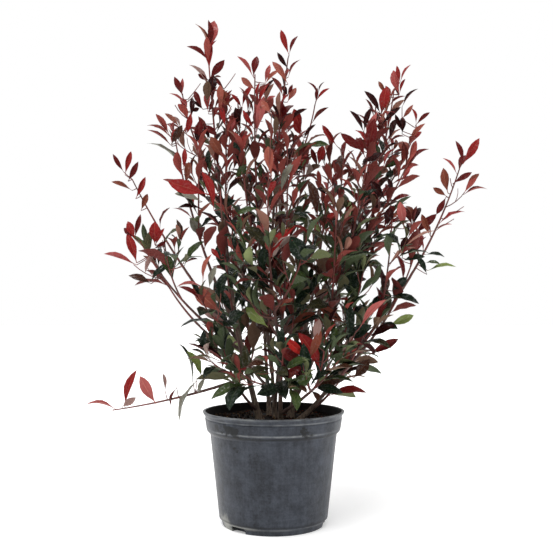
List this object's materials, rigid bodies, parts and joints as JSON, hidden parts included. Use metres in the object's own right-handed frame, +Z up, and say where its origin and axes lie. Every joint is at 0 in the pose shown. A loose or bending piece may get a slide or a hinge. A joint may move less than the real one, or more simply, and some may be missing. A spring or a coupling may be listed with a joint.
{
  "type": "potted photinia shrub",
  "caption": "Evergreen flowering shrub with upright stems and red young leaves over dark green ones, in a round tapered nursery pot.",
  "frame": {"origin": "middle of the pot's flat underside", "axes": "+Z up along the pot's axis, +X to the right and -Y towards the viewer of the picture"},
  "size_m": [0.782, 0.5499, 1.0028],
  "materials": {
    "pot": "satin",
    "soil": "matte",
    "bark": "matte",
    "shoot_bark": "satin",
    "red_foliage": "satin",
    "green_foliage": "satin"
  },
  "bodies": {
    "root": {"pot": "pot", "soil": "soil", "stem_left": "bark", "stem_centre": "bark", "stem_right": "bark", "stem_outer_right": "bark", "stem_back": "bark", "stem_front": "bark", "bough_top_left": "shoot_bark", "foliage_top_left": "red_foliage", "bough_upper_left": "shoot_bark", "foliage_upper_left": "red_foliage", "bough_high_left": "shoot_bark", "foliage_high_left": "red_foliage", "bough_middle_left": "shoot_bark", "foliage_middle_left": "green_foliage", "bough_low_left": "shoot_bark", "foliage_low_left": "green_foliage", "bough_front_left": "shoot_bark", "foliage_front_left": "red_foliage", "bough_drooping_left": "shoot_bark", "foliage_drooping_left": "green_foliage", "bough_left_skirt": "shoot_bark", "foliage_left_skirt": "green_foliage", "bough_top_centre": "shoot_bark", "foliage_top_centre": "red_foliage", "bough_centre_left": "shoot_bark", "foliage_centre_left": "red_foliage", "bough_centre_low": "shoot_bark", "foliage_centre_low": "red_foliage", "bough_top_right": "shoot_bark", "foliage_top_right": "red_foliage", "bough_back_right": "shoot_bark", "foliage_back_right": "red_foliage", "bough_front_right": "shoot_bark", "foliage_front_right": "red_foliage", "bough_centre_right": "shoot_bark", "foliage_centre_right": "red_foliage", "bough_far_right": "shoot_bark", "foliage_far_right": "red_foliage", "bough_middle_right": "shoot_bark", "foliage_middle_right": "green_foliage", "bough_low_right": "shoot_bark", "foliage_low_right": "green_foliage", "bough_right_skirt": "shoot_bark", "foliage_right_skirt": "green_foliage", "bough_low_front_right": "shoot_bark", "foliage_low_front_right": "green_foliage", "bough_front_centre": "shoot_bark", "foliage_front_centre": "red_foliage", "bough_low_front": "shoot_bark", "foliage_low_front": "green_foliage", "bough_back_left": "shoot_bark", "foliage_back_left": "red_foliage", "bough_back_centre": "shoot_bark", "foliage_back_centre": "red_foliage", "bough_low_back_left": "shoot_bark", "foliage_low_back_left": "green_foliage", "bough_low_back_right": "shoot_bark", "foliage_low_back_right": "green_foliage"}
  },
  "joints": []
}
